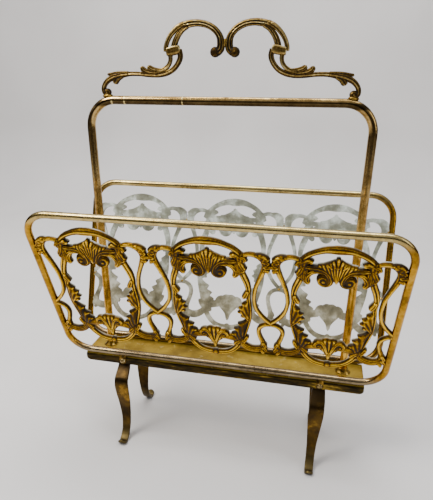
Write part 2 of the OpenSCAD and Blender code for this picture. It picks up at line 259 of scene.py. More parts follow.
def sweep(line, sections, closed=False):
    """Rings of (across, out) points along a line in a plane.

    Sections is one ring, or a list with a ring for each point."""
    normal = across(line, closed)
    rings = len(line)
    if not isinstance(sections, list):
        sections = [sections] * rings
    m = len(sections[0])
    verts = []
    for p, nrm, ring in zip(line, normal, sections):
        verts += [(p[0] + nrm[0] * a, p[1] + nrm[1] * a, b) for a, b in ring]
    faces = []
    for i in range(rings if closed else rings - 1):
        j = (i + 1) % rings
        faces += [(i * m + k, i * m + (k + 1) % m, j * m + (k + 1) % m, j * m + k) for k in range(m)]
    if not closed:
        faces.append(list(range(m))[::-1])
        faces.append([(rings - 1) * m + k for k in range(m)])
    return verts, faces


def circle_ring(r, n=28):
    return np.array([(r * math.cos(2 * math.pi * k / n), r * math.sin(2 * math.pi * k / n))
                     for k in range(n)])


def lathe(profile, n=32):
    """Verts and faces turned about Z from (radius, height) points, closed on the axis at both ends."""
    verts, faces = [(0, 0, profile[0][1])], []
    rings = profile[1:-1]
    for r, h in rings:
        verts += [(r * math.cos(2 * math.pi * k / n), r * math.sin(2 * math.pi * k / n), h)
                  for k in range(n)]
    verts.append((0, 0, profile[-1][1]))
    last = len(verts) - 1
    for k in range(n):
        k2 = (k + 1) % n
        faces.append((0, 1 + k2, 1 + k))
        for i in range(len(rings) - 1):
            a, b = 1 + i * n, 1 + (i + 1) * n
            faces.append((a + k, a + k2, b + k2, b + k))
        end = 1 + (len(rings) - 1) * n
        faces.append((end + k, end + k2, last))
    return verts, faces


# ---------- castings: a height over the plane, built from overlapping shapes ----------


RIBBON_PITCH, LEAF_PITCH = 0.9, 0.8
GROOVE_W = 0.6
ROUNDNESS = 2.4
KNOB_POINTS = 32


def inside(points, poly):
    """Which of the points are inside a closed outline."""
    x, y = points[:, 0], points[:, 1]
    out = np.zeros(len(points), bool)
    for (ax, ay), (bx, by) in zip(poly, np.roll(poly, -1, axis=0)):
        if ay == by:
            continue
        hit = (ay > y) != (by > y)
        out ^= hit & (x < (bx - ax) * (y - ay) / (by - ay) + ax)
    return out


def line_distance(points, line, closed=False):
    """Each point's distance to a line, the share of the line passed there, and its side of it."""
    a = line if closed else line[:-1]
    b = np.roll(line, -1, axis=0) if closed else line[1:]
    d = b - a
    rel = points[:, None, :] - a[None]
    t = np.clip((rel * d).sum(2) / np.maximum((d * d).sum(1), 1e-12), 0, 1)
    gap = np.hypot(*(rel - t[..., None] * d).transpose(2, 0, 1))
    k = gap.argmin(1)
    rows = np.arange(len(points))
    side = d[k, 0] * rel[rows, k, 1] - d[k, 1] * rel[rows, k, 0]
    return gap[rows, k], (k + t[rows, k]) / len(a), np.sign(side)


class Ribbon:
    """A band along a line of (x, y, width) points, round in section, with grooves that follow the line.

    A groove's place goes from -1 at the band's right edge to 1 at its left edge."""

    def __init__(self, line, top, grooves=(), depth=0.9, edge=1.6, tone=0.0, tip_tone=None, ends=(0, 0)):
        path = resample(smooth(line, 6), RIBBON_PITCH)
        self.line, self.half = path[:, :2], path[:, 2] / 2
        run = np.concatenate([[0], np.cumsum(np.hypot(*np.diff(self.line, axis=0).T))])
        for rounded, gap in ((ends[0], run), (ends[1], run[-1] - run)):
            if rounded:
                short = np.clip(self.half - gap, 0, None)
                self.half = np.sqrt(np.maximum(self.half ** 2 - short ** 2, 0.04))
        off = across(self.line) * self.half[:, None]
        self.outline = np.vstack([self.line + off, (self.line - off)[::-1]])
        self.top, self.edge, self.grooves, self.depth = top, edge, grooves, depth
        self.tone, self.tip_tone = tone, tone if tip_tone is None else tip_tone

    def height(self, p):
        gap, share, side = line_distance(p, self.line)
        half = np.interp(share, np.linspace(0, 1, len(self.half)), self.half)
        t = np.clip(gap / half, 0, 1)
        h = self.edge + (self.top - self.edge) * np.sqrt(np.maximum(1 - t ** ROUNDNESS, 0))
        for g in self.grooves:
            h = h - self.depth * np.exp(-(((t * side - g) * half) / GROOVE_W) ** 2)
        return h, self.tone + (self.tip_tone - self.tone) * share ** 2


class Leaf:
    """A lobed leaf that swells from its edge, with flutes that fan out from a root.

    The flutes fade in between two distances from the root."""

    def __init__(self, outline, root, top, flutes, depth=0.9, edge=2.2, rise=1.5, tone=0.0, fade=(0, 5)):
        self.tone, self.fade = tone, fade
        self.outline = resample(smooth(outline, 4, True), LEAF_PITCH, True)
        self.root, self.top, self.flutes = np.array(root, float), top, flutes
        self.depth, self.edge, self.rise = depth, edge, rise

    def height(self, p):
        gap, _, _ = line_distance(p, self.outline, True)
        rel = p - self.root
        angle = np.arctan2(rel[:, 1], rel[:, 0])
        far = np.hypot(rel[:, 0], rel[:, 1])
        flute = 0.5 - 0.5 * np.cos(self.flutes * (angle - math.pi / 2))
        h = self.edge + (self.top - self.edge) * (1 - np.exp(-gap / self.rise))
        shown = np.clip((far - self.fade[0]) / (self.fade[1] - self.fade[0]), 0, 1)
        return h - self.depth * flute * shown * np.clip(gap / 0.8, 0.25, 1), self.tone


class Ball:
    """A round knob."""

    def __init__(self, centre, r, top, edge=0.8, tone=0.0):
        self.centre, self.r, self.top, self.edge = np.array(centre, float), r, top, edge
        self.tone = tone
        a = np.linspace(0, 2 * math.pi, KNOB_POINTS, endpoint=False)
        self.outline = self.centre + r * np.stack([np.cos(a), np.sin(a)], 1)

    def height(self, p):
        far = np.hypot(*(p - self.centre).T)
        dome = np.sqrt(np.maximum(1 - (far / self.r) ** 2, 0))
        return self.edge + (self.top - self.edge) * dome, self.tone


ROW_STEP = 0.9
# Points set in and out from every outline: (distance, every which point of the outline)
RIM_INSETS = ((0.35, 1), (0.9, 2))
RIM_GAP = 0.28
CROWDED = 0.42
FAR = 1e9


def reach(shape):
    return shape.outline.min(0), shape.outline.max(0)


def near_shape(points, shape, margin):
    """The indexes of the points in a shape's box, grown by a margin."""
    lo, hi = reach(shape)
    return np.nonzero(np.all((points > lo - margin) & (points < hi + margin), axis=1))[0]


def grid_points(shapes, pitch):
    """Staggered rows of points over all the shapes."""
    lo = np.min([reach(s)[0] for s in shapes], axis=0)
    hi = np.max([reach(s)[1] for s in shapes], axis=0)
    columns = np.arange(math.floor(lo[0] / pitch), math.ceil(hi[0] / pitch) + 1)
    last_row = max(math.ceil(hi[1] / pitch), math.ceil(hi[1] / (ROW_STEP * pitch)))
    rows = np.arange(math.floor(lo[1] / pitch), last_row + 1)
    return np.array([((x + 0.5 * (y % 2)) * pitch, y * pitch * ROW_STEP) for y in rows for x in columns])


def inner_points(shapes, pitch):
    """The points inside the shapes that are clear of the outlines and of each other."""
    rings = [grid_points(shapes, pitch)]
    for s in shapes:
        normal = across(s.outline, True)
        for inset, every in RIM_INSETS:
            rings += [s.outline[::every] + sign * inset * normal[::every] for sign in (1, -1)]
    points = np.vstack(rings)
    keep = np.zeros(len(points), bool)
    near = np.full(len(points), FAR)
    for s in shapes:
        at = near_shape(points, s, 1)
        gap, _, _ = line_distance(points[at], s.outline, True)
        keep[at] |= inside(points[at], s.outline)
        near[at] = np.minimum(near[at], gap)
    points = points[keep & (near > RIM_GAP)]
    cell = np.round(points / (CROWDED * pitch)).astype(int)
    _, first = np.unique(cell, axis=0, return_index=True)
    return points[np.sort(first)]


def triangles(shapes, points):
    """The triangles over the union of the shapes, as points and their indexes."""
    points = [Vector(q) for q in points]
    edges = []
    for s in shapes:
        start, n = len(points), len(s.outline)
        points += [Vector(q) for q in s.outline]
        edges += [(start + k, start + (k + 1) % n) for k in range(n)]
    out = delaunay_2d_cdt(points, edges, [], 0, 1e-4, False)
    v = np.array([tuple(q) for q in out[0]])
    f = np.array([tuple(t) for t in out[2]])
    middle = v[f].mean(1)
    solid = np.zeros(len(f), bool)
    for s in shapes:
        at = near_shape(middle, s, 0)
        at = at[~solid[at]]
        solid[at] |= inside(middle[at], s.outline)
    used, f = np.unique(f[solid], return_inverse=True)
    return v[used], f.reshape(-1, 3)


def cast_surface(shapes, pitch, clip=None):
    """One triangulated face over the shapes, with the height and tone of the highest at each point."""
    if clip is not None:
        for s in shapes:
            s.outline = np.clip(s.outline, [-clip, -FAR], [clip, FAR])
    v, f = triangles(shapes, inner_points(shapes, pitch))
    height = np.full(len(v), -FAR)
    tone = np.zeros(len(v))
    for s in shapes:
        at = near_shape(v, s, 1e-3)
        gap, _, _ = line_distance(v[at], s.outline, True)
        at = at[inside(v[at], s.outline) | (gap < 2e-3)]
        if not len(at):
            continue
        high, shade = s.height(v[at])
        won = high > height[at]
        height[at[won]] = high[won]
        tone[at[won]] = np.broadcast_to(shade, high.shape)[won]
    missed = height == -FAR
    height[missed] = height[~missed].min()
    return v, f, height, tone


# A point's wear is the middle value where it is level with the points round it, and half a unit more
# or less where it stands a step above or below them. Rims would fall away, so their rise has a limit.
MID_WEAR = 0.49
WEAR_STEP = 0.72
RIM_RISE = -0.1
RIM_ROUNDS, RIM_LEAST = 3, 0.02
LEVEL_ROUNDS = 6
TONE_ROUNDS = 2
CAST_SHARP = 62


def rim_edges(f):
    """Edges of the triangles that only one of them has, in that triangle's direction."""
    e = np.vstack([f[:, [0, 1]], f[:, [1, 2]], f[:, [2, 0]]])
    key = np.sort(e, axis=1)
    _, index, count = np.unique(key, axis=0, return_index=True, return_counts=True)
    return e[index[count == 1]]


def wear_values(f, h, tone):
    """0 in hollows to 1 on ridges, from each point's height against that of the points round it."""
    e = np.vstack([f[:, [0, 1]], f[:, [1, 2]], f[:, [2, 0]]])
    e = np.vstack([e, e[:, ::-1]])
    deg = np.maximum(np.bincount(e[:, 0], minlength=len(h)), 1)

    def spread(values, rounds):
        for _ in range(rounds):
            values = np.bincount(e[:, 0], weights=values[e[:, 1]], minlength=len(h)) / deg
        return values

    rise = (h - spread(h, LEVEL_ROUNDS)) / WEAR_STEP
    rim = np.zeros(len(h))
    rim[np.unique(rim_edges(f))] = 1
    near_rim = spread(rim, RIM_ROUNDS) > RIM_LEAST
    rise[near_rim] = np.maximum(rise[near_rim], RIM_RISE)
    return np.clip(MID_WEAR + 0.5 * rise + spread(tone, TONE_ROUNDS), 0, 1)


def set_values(mesh, name, values):
    attribute = mesh.attributes.new(name, "FLOAT", "POINT")
    attribute.data.foreach_set("value", np.concatenate(values).astype(np.float32))


def casting_mesh(name, shapes, pitch, two_faced, clip=None):
    """A casting in its plane, its heights from z = 0: relief on both faces, or on a flat back."""
    v, f, h, tone = cast_surface(shapes, pitch, clip)
    n = len(v)
    wear = wear_values(f, h, tone)
    back = -h if two_faced else np.zeros(n)
    verts = np.vstack([np.column_stack([v, h]), np.column_stack([v, back])])
    faces = [tuple(t) for t in f]
    faces += [(a + n, c + n, b + n) for a, b, c in f]
    faces += [(b, a, a + n, b + n) for a, b in rim_edges(f)]
    mesh = new_mesh(name, verts, faces)
    set_values(mesh, "wear", [wear, wear if two_faced else np.full(n, 0.5)])
    set_values(mesh, "rear_face", [np.zeros(n), np.full(n, 0.0 if two_faced else 1.0)])
    if not two_faced:
        flatten_back(mesh)
    mesh.shade_smooth()
    mesh.set_sharp_from_angle(angle=math.radians(CAST_SHARP))
    return mesh


def flatten_back(mesh):
    """Joins the many triangles of the flat back into few faces."""
    bm = bmesh.new()
    bm.from_mesh(mesh)
    verts = [w for w in bm.verts if abs(w.co.z) < 1e-7]
    low = set(verts)
    edges = [e for e in bm.edges if e.verts[0] in low and e.verts[1] in low and not e.is_boundary]
    bmesh.ops.dissolve_limit(bm, angle_limit=0.005, verts=verts, edges=edges)
    bmesh.ops.triangulate(bm, faces=[g for g in bm.faces if len(g.verts) > 4])
    bm.to_mesh(mesh)
    bm.free()


# ---------- the cartouche, drawn on a grid 130 wide and 170 high ----------

STRAND_TOP = 4.6
LEAF_TOP = 6.8
DARK = -0.1
BLACK = -0.2

# Lines of (x, y, width) on the right half
RING = [(32, 146, 5), (33, 139, 6.4), (36, 128, 7.4), (39.6, 118, 7.2), (41.4, 108, 6), (41, 98, 5.2),
        (41.6, 88, 5.2), (42, 78, 5.4), (41.4, 68, 5.8), (39.6, 58, 6), (36.8, 48, 6.2), (33.6, 37, 6.4),
        (29.6, 25, 6.4), (24.4, 16.4, 6), (17.4, 10, 5.8), (9, 6.8, 6.4), (0, 5.6, 7.4)]
BROW = [(36.6, 150, 5), (33.4, 155.2, 5.6), (27.6, 160.4, 5.8), (20, 164.4, 6.2), (11, 167.2, 7.6),
        (0, 167.6, 9.6)]
LOOP = [(33, 150, 4.4), (38, 153.6, 4.6), (45, 155.2, 5), (52, 153.2, 5.6), (57, 148.4, 6.2),
        (58.6, 141.6, 6), (56.6, 133, 6), (52.8, 123, 5), (49.2, 112, 4.8), (47.5, 101, 4.4),
        (47.4, 92, 4.4), (49.4, 82, 4.6), (54, 73.6, 4.6), (59.4, 67, 4.6), (66, 61.4, 4.6)]
S_STRAND = [(66, 60, 4.6), (59, 59, 5), (53.6, 54.6, 5.2), (51.6, 48, 5.2), (53, 40, 5.2), (56, 31, 6),
            (56.6, 23, 8), (54.4, 17, 7)]
SWEEP = [(57.4, 24, 6), (53.4, 20.4, 8.4), (47, 18.6, 9.4), (40, 20, 9.2), (34, 24, 8), (30.6, 30, 6)]
ARM = [(31, 146.6, 6), (25, 146, 6), (18, 145.6, 6.2), (12, 143.2, 6.6), (7.4, 138.2, 7), (5.2, 131.6, 6),
       (6.8, 126.8, 5.2), (11.2, 125, 4.6), (15.6, 127, 4.2), (17, 131.2, 3.8), (14.4, 134.8, 3.6),
       (11, 133.6, 3.2), (10.8, 130.6, 2.6), (12.6, 129.8, 2.4)]
HOOK = [(10, 139.4, 3), (17.4, 141.4, 4.6), (24.6, 139.8, 6), (29, 134.6, 7.6), (29.4, 129.4, 7.6),
        (25.6, 125.2, 5.4)]
SHELL_ARM = [(33, 32, 12), (26, 33.6, 11.4), (20, 34.4, 9.6), (13, 35, 8)]
SHELL_CURL = [(1.6, 27, 3), (3.6, 33, 4), (5.6, 39, 4.4), (9, 43.6, 4.6), (13.4, 42.6, 4.4),
              (15.6, 38.4, 4.2), (13.4, 34.4, 3.8), (10, 34.8, 3.2), (9.4, 38, 2.8), (11.6, 39.6, 2.4)]
# Round knobs on the right half: (x, y, radius, fall from the leaves' top, edge, tone)
KNOBS = [(11.8, 131.4, 7.8, 1.4, 2.6, DARK), (11.4, 38.4, 6.4, 1.2, 2.6, BLACK),
         (12.6, 130.4, 1.9, 0, 5.6, BLACK), (11.8, 38.2, 1.5, 0, 5.6, BLACK)]

# Short fluted lobes, each from its root to its tip
CROWN_LOBES = [[(34, 152, 4), (28.6, 154.4, 4.6), (23.6, 152.4, 5.6)],
               [(33, 153, 4), (37.6, 151.4, 4.6), (39.8, 147.4, 4.4)],
               [(33, 148, 5), (35.4, 141.8, 6), (38.4, 136.4, 5.8)],
               [(32, 137, 5), (36, 134.6, 5), (38, 137.6, 4)]]
CROWN_STEM = [(33, 154, 5), (32.4, 147, 7), (31.6, 139, 7.6), (32.6, 131, 6)]
EAR_LOBES = [[(51, 153.4, 5), (57, 153.4, 5.4), (61.2, 150.8, 4.6)],
             [(56, 149, 6), (60.6, 148, 5.4), (63.6, 145, 4.2)],
             [(57.6, 143, 6), (61.4, 141.8, 5), (65.4, 142.6, 4)],
             [(57, 139, 5), (60.8, 137.4, 4.8), (62.8, 134.4, 4.2)]]
HIGH_LOBES = [[(41, 108, 4), (38.6, 102, 6), (35.6, 97, 5.4)]]
HEEL_LOBES = [[(31, 33, 6), (27, 28.6, 6.4), (23, 24.2, 5)]]
SPUR_LOBES = [[(33.4, 29, 5), (37, 34, 5), (39, 39.4, 4.6)]]
FOOT_LOBES = [[(55.4, 32, 4), (58.4, 28.6, 4.6), (60, 24.6, 4.4)],
              [(56, 25, 5), (59.2, 21.6, 4.6), (60.4, 17.8, 4)],
              [(54, 20, 5), (56.6, 16.6, 4.6), (56.8, 13.8, 4)]]
# Fluted leaves with scalloped edges: (outline, root of the flutes, flutes in a full turn)
CROWN_LEAF = ([(36.6, 156.4), (32, 157.2), (27.6, 156.8), (22.4, 153.4), (25.6, 150.4), (28.6, 148.6),
               (28.6, 142), (27.2, 136), (27, 129.6), (32, 127.6), (36.4, 130.6), (39.6, 133.6),
               (41, 137.8), (37.4, 140.4), (38, 143.8), (42, 146.6), (39.6, 150.8), (38, 153.8)],
              (32, 118), 60)
EAR_LEAF = ([(49, 156.6), (55, 157.4), (60.4, 155.2), (64.4, 151), (62.6, 147.4), (65.2, 144), (63.4, 140),
             (64.4, 135.6), (60.6, 133.4), (57, 136), (57, 143), (55, 148.4), (50, 151.6)], (50, 138), 24)
WAIST_LEAF = ([(42.4, 93), (38, 91.6), (33.6, 88), (34, 84.4), (29.6, 82), (31.4, 78), (28.2, 74.6),
               (32, 71.6), (31.6, 67.6), (36.4, 66.8), (42.4, 63.6)], (46, 56), 34)
LOW_LEAF = ([(41, 68), (36.4, 63.6), (32.4, 60.6), (27.8, 57.6), (29.8, 53), (26.2, 51), (23, 48.6),
             (25.8, 44.6), (22.4, 42.8), (19.8, 40), (23, 36.6), (22.4, 32), (28, 29.6), (35, 38),
             (38.6, 52)], (34, 20), 34)
PALMETTE = (closed_half([(0, 156.6), (3.4, 156.4), (6.6, 154.2), (10, 152.6), (14, 150.8), (19.4, 149.4),
                         (15.4, 144.4), (8.6, 138.4), (4, 132.4), (0, 126.6)]), (0, 122), 56)
SHELL = (closed_half([(0, 47.6), (4.4, 48), (8.8, 45.6), (12.4, 43), (14, 38), (12.6, 33.4), (9.6, 29.6),
                      (6, 26), (3.2, 22), (2, 17.6), (0, 14.6)]), (0, 10), 44)
PALMETTE_TIPS = [[(0, 149, 4), (0, 154, 4.4), (0, 159.6, 4.8)], [(2, 149, 3), (4.6, 155.6, 4)],
                 [(5, 147, 3), (9.4, 151.6, 3.6)]]


def on_grid(points):
    return [(q[0], q[1] * GRID_Y, *q[2:]) for q in points]


def both(line, top, grooves=(), **named):
    """A ribbon on the right half and its mirror image on the left half."""
    return [Ribbon(on_grid(line), top, grooves, **named),
            Ribbon(on_grid(mirrored(line)), top, [-g for g in grooves], **named)]


def leaf(plan, top, **named):
    """A fluted leaf from its outline, root and flutes on the cartouche's grid."""
    outline, root, flutes = plan
    return Leaf(on_grid(outline), on_grid([root])[0], top, flutes, **named)


def leaves(plan, top, **named):
    """A fluted leaf on the right half and its mirror image on the left half."""
    outline, (x, y), flutes = plan
    return [leaf(plan, top, **named), leaf((mirrored(outline), (-x, y), flutes), top, **named)]


def lobes(group, top, tone):
    """Leaf lobes that overlap by turns, each with one groove and a rounded, darker tip."""
    out = []
    for k, line in enumerate(group):
        out += both(line, top - 0.25 * (k % 2), grooves=(0.1,), depth=0.7, edge=3.4,
                    tone=tone * 0.1, tip_tone=tone, ends=(1, 1))
    return out


def cartouche_shapes():
    """The oval and its brow, the shell and palmette, then leaves, strands, curls, lobes and knobs."""
    top = LEAF_TOP
    shapes = [Ribbon(on_grid(joined(RING)), STRAND_TOP, (0.02,), depth=1.3, tone=-0.03),
              Ribbon(on_grid(joined(BROW)), STRAND_TOP + 0.4, (-0.5, 0.42), depth=1.0, tone=-0.04),
              leaf(PALMETTE, top - 0.3, depth=1.0, edge=2.6, rise=1.2, tone=DARK * 0.5, fade=(8, 16)),
              leaf(SHELL, top - 1.2, depth=1.0, edge=2.6, rise=1.2, tone=DARK * 0.4, fade=(8, 14))]
    for plan, tone in ((CROWN_LEAF, DARK), (EAR_LEAF, DARK), (WAIST_LEAF, DARK), (LOW_LEAF, BLACK)):
        shapes += leaves(plan, top - 0.3, depth=0.6, tone=tone)
    strand = STRAND_TOP + 0.3
    shapes += both(LOOP, strand, grooves=(-0.4,), depth=0.6, tone=-0.02)
    shapes += both(S_STRAND, strand, grooves=(0.4,), depth=0.6, tone=-0.04, tip_tone=DARK)
    shapes += both(SWEEP, STRAND_TOP + 1.2, grooves=(0.45, -0.05, -0.5), depth=0.8, edge=2, tone=DARK)
    shapes += both(ARM, top - 0.4, grooves=(-0.42, 0.3), depth=1.0, edge=2.8, tone=BLACK * 0.8)
    shapes += both(HOOK, top - 0.9, grooves=(-0.36, 0.3), depth=0.9, edge=2.2, tip_tone=DARK, ends=(0, 1))
    shapes += both(CROWN_STEM, top - 0.6, grooves=(-0.45, 0, 0.45), depth=0.9, edge=2.2, tone=-0.02)
    shapes += both(SHELL_ARM, STRAND_TOP + 1, grooves=(0.5,), depth=0.5, edge=2.6, tone=DARK, tip_tone=0.1)
    shapes += both(SHELL_CURL, top - 0.3, grooves=(0.1,), depth=0.6, edge=3.2, tone=-0.03, tip_tone=DARK)
    for group, fall, tone in ((CROWN_LOBES, 0.2, BLACK), (EAR_LOBES, 0.7, BLACK),
                              (HIGH_LOBES, 0.8, DARK), (HEEL_LOBES, 0.5, BLACK),
                              (SPUR_LOBES, 1, DARK), (FOOT_LOBES, 0.6, BLACK)):
        shapes += lobes(group, top - fall, tone)
    for tip in PALMETTE_TIPS[1:]:
        shapes += both(tip, top - 0.3, edge=2.6, tone=DARK, ends=(0, 1))
    shapes.append(Ribbon(on_grid(PALMETTE_TIPS[0]), top, edge=2.6, tone=BLACK, ends=(0, 1)))
    for hand in (RIGHT, LEFT):
        for x, y, r, fall, edge, tone in KNOBS:
            shapes.append(Ball((hand * x, y * GRID_Y), r, top - fall, edge, tone))
    shapes.append(Ball((0, 7.2 * GRID_Y), 3.6, STRAND_TOP + 1.6, 2.4, BLACK))
    return shapes


CARTOUCHE_PITCH = (1.3, 0.8)
SCROLL_PITCH = (1.1, 0.7)


def add_cartouches(material):
    pitch = CARTOUCHE_PITCH[1]
    mesh = casting_mesh("cartouche", cartouche_shapes(), pitch, False, CARTOUCHE_W / 2)
    mesh.transform(Matrix.Translation((0, CARTOUCHE_GAP, CAST_BACK)))
    mesh.materials.append(material)
    for side in (FRONT, REAR):
        for place, name in ((-1, "left"), (0, "middle"), (1, "right")):
            node = f"{SIDE_NAMES[side]}_cartouche_{name}"
            piece = mesh.copy()
            along = -side * place * CARTOUCHE_W
            piece.transform(panel_matrix(side) @ Matrix.Translation((along, 0, 0)))
            add_piece("cast_" + node, piece, material, [node])


# ---------- the scrolls on the handle: (x, z, width) lines of the right-hand one ----------

SCROLL_TOP = 3.3
STEM = [(135.4, 431.4, 4.4), (137.8, 435, 5), (137, 440.6, 5.2), (132.6, 446, 5.8), (125.6, 449.6, 6.4),
        (117, 451.6, 6.2), (106, 453.2, 5), (95, 453.2, 4.8), (84, 452.2, 5), (74, 452, 5.2),
        (64.4, 453.8, 5.6), (56.2, 458, 5.6), (50.6, 464.4, 5.6), (48.2, 471, 5.8), (49.6, 477.4, 6)]
INNER = [(59.8, 474, 5), (59.2, 467.4, 4.6), (62, 461.4, 4.6), (67.6, 457.4, 4.8), (75, 455.8, 4.6)]
OUTER_ARCH = [(44, 502, 6), (51, 498.8, 5.6), (57.4, 493, 5.2), (61.8, 486.4, 4.8), (64.2, 479.6, 4.6),
              (65, 475.4, 3)]
INNER_ARCH = [(40, 500, 5), (46, 496.4, 5.6), (51, 490.4, 6.2), (54, 484, 6.6), (55.4, 478, 6.8)]
ARCH = [(47, 500.4, 6), (40, 502, 7.4), (30, 503, 7), (20, 501.4, 6.8), (11.4, 497, 6.8), (6, 490.6, 7),
        (4.3, 484, 8), (5, 478, 8.6), (8.6, 474.4, 8.4)]
ARCH_END, ARCH_END_R = (10.4, 474.8), 5.3
SCROLL_FOOT, SCROLL_FOOT_R = (133.4, 433.8), 4.3
COLLAR = [(48.6, 478, 8), (56, 476, 8.4), (63.4, 475, 7)]
COLLAR_BAR = [(49.6, 480.6, 2.4), (56, 479.8, 2.6), (63, 478, 2.4)]
TIP_LEAF = [(108, 454.2, 4), (120, 454, 4), (132.6, 452.4, 3)]
BUD = [(115, 451, 4.6), (121, 448, 6.8), (124.8, 442.6, 7.4)]
CURLS = [[(66, 456.4, 4.6), (76, 457, 5.6), (82, 459, 5.8), (84.6, 462, 5)],
         [(74, 453.8, 4.6), (84, 454.8, 5.8), (90, 457.4, 6), (91.8, 461.4, 5.2)]]


def scroll_shapes():
    """One scroll: each ribbon's line, top, grooves, depth, edge, tone, tip's tone and rounded ends."""
    top = SCROLL_TOP
    shapes = [Ribbon(STEM, top * 0.88, (-0.3, 0.5), 0.7, 0.8, -0.06),
              Ribbon(INNER, top * 0.86, (0.3,), 0.7, 0.8, 0.02),
              Ribbon(OUTER_ARCH, top * 0.88, (-0.2,), 0.8, 0.8, 0.0),
              Ribbon(INNER_ARCH, top * 0.86, (0.45, -0.1), 0.9, 0.8, -0.02),
              Ribbon(ARCH, top * 0.94, (-0.2, 0.45), 1.4, 0.8, -0.02, BLACK),
              Ribbon(TIP_LEAF, top * 0.72, (0,), 0.6, 0.6, -0.05, DARK, (0, 1)),
              Ribbon(BUD, top * 0.8, (0.1,), 0.6, 0.6, -0.05, DARK, (0, 1)),
              Ribbon(COLLAR, top, (), 0, 1.6, 0.08, 0.02),
              Ribbon(COLLAR_BAR, top * 1.02, (), 0, 1.6, 0.12),
              Ball(SCROLL_FOOT, SCROLL_FOOT_R, top, tone=-0.12),
              Ball(SCROLL_FOOT, 1.3, top * 1.06, 2.4, tone=0.2),
              Ball(ARCH_END, ARCH_END_R, top * 1.02, tone=BLACK)]
    shapes += [Ribbon(curl, top * 0.86, (-0.25, 0.4), 0.7, 0.7, 0.0, DARK, (0, 1)) for curl in CURLS]
    return shapes


def add_scrolls(material):
    pitch = SCROLL_PITCH[1]
    mesh = casting_mesh("scroll", scroll_shapes(), pitch, True)
    for end in (LEFT, RIGHT):
        piece = mesh.copy()
        piece.transform(UPRIGHT_PLANE)
        if end == LEFT:
            piece.transform(Matrix.Scale(-1, 4, (1, 0, 0)))
            piece.flip_normals()
        add_piece(f"cast_scroll_{END_NAMES[end]}", piece, material,
                  [f"handle_scroll_{END_NAMES[end]}"])


# ---------- rods ----------


def add_side_frames(material):
    corners = [(-BOTTOM_X, 0), (BOTTOM_X, 0), (TOP_X, SLANT), (-TOP_X, SLANT)]
    line = rounded_path(corners, FRAME_BEND, True)
    for side in (FRONT, REAR):
        verts, faces = sweep(line, circle_ring(ROD_R), True)
        name = f"{SIDE_NAMES[side]}_frame"
        mesh = new_mesh(name + "_rod", verts, faces, panel_matrix(side))
        smooth_shade(mesh)
        add_piece("rod_" + name, mesh, material, [name])


def add_handle(material):
    corners = [(-HANDLE_FOOT_X, PLATE_Z), (-HANDLE_X, HANDLE_Z), (HANDLE_X, HANDLE_Z),
               (HANDLE_FOOT_X, PLATE_Z)]
    verts, faces = sweep(rounded_path(corners, HANDLE_BEND, False), circle_ring(BAR_R, 32))
    mesh = new_mesh("handle_bar", verts, faces, UPRIGHT_PLANE)
    smooth_shade(mesh)
    add_piece("bar_handle", mesh, material, ["handle_frame"])


# ---------- base plate ----------

LIP_CORNER_R = 5.0
PLATE_COLUMNS = 90


def plate_profile():
    """Points (y, z) on the plate's outer face, from the front lip's lower edge to the rear one's."""
    flat_y = LIP_Y - LIP_R
    half = [(LIP_Y, PLATE_LO[2] + (PLATE_Z - LIP_R - PLATE_LO[2]) * k / 5) for k in range(5)]
    half += [(flat_y + LIP_R * math.cos(a), PLATE_Z - LIP_R + LIP_R * math.sin(a))
             for a in (math.pi / 2 * k / 12 for k in range(13))]
    half += [(flat_y * (1 - k / 6), PLATE_Z) for k in range(1, 7)]
    return [(-y, z) for y, z in half[:-1]] + half[::-1]


def add_plate(material):
    profile = plate_profile()
    verts = []
    for y, z in profile:
        low = LIP_CORNER_R - (z - PLATE_LO[2])
        cut = LIP_CORNER_R - math.sqrt(max(LIP_CORNER_R ** 2 - max(low, 0) ** 2, 0))
        half_l = PLATE_HI[0] - cut
        verts += [(half_l * (2 * k / PLATE_COLUMNS - 1), y, z) for k in range(PLATE_COLUMNS + 1)]
    row = PLATE_COLUMNS + 1
    faces = [(i * row + k, i * row + k + 1, (i + 1) * row + k + 1, (i + 1) * row + k)
             for i in range(len(profile) - 1) for k in range(PLATE_COLUMNS)]
    mesh = new_mesh("plate", verts, faces, Matrix.Scale(MM, 4))
    mesh.shade_smooth()
    piece = add_piece("sheet_base_plate", mesh, material, ["base_plate"])
    solid = piece.modifiers.new("thickness", "SOLIDIFY")
    solid.thickness = SHEET_T * MM
    solid.offset = -1
    soften(piece, 0.35, 55)


# ---------- legs ----------

# The leg's middle line as (y, z), and its half width as (z, half width)
LEG_LINE = [(22.1, 109), (22.1, 104), (22.1, 99.4), (25.5, 94.5), (31.5, 89.2), (36.6, 84.4), (38.4, 77),
            (37.2, 66), (34.8, 52), (33.4, 38), (33.8, 26), (36.8, 14), (42.4, 5.9), (49, 1.5),
            (54.5, 2.6), (58, 6.4)]
LEG_HALF = [(0, 5.2), (12, 5.2), (28, 5.8), (45, 7.2), (60, 8.4), (74, 9), (88, 8.7), (99, 7.6),
            (110, 7.5)]
TOE_R = 5.2
TOE_LEAST = 1.2
STRIP_EDGE_R = 0.8


def strip_ring(half_w, half_t, r, n=4):
    """A flat strip's section, (out of the strip's face, along its width), with rounded edges."""
    ring = []
    for cx, cy, a0 in ((1, 1, 0), (-1, 1, 90), (-1, -1, 180), (1, -1, 270)):
        for k in range(n + 1):
            a = math.radians(a0 + 90 * k / n)
            ring.append((cx * (half_t - r) + r * math.cos(a), cy * (half_w - r) + r * math.sin(a)))
    return ring


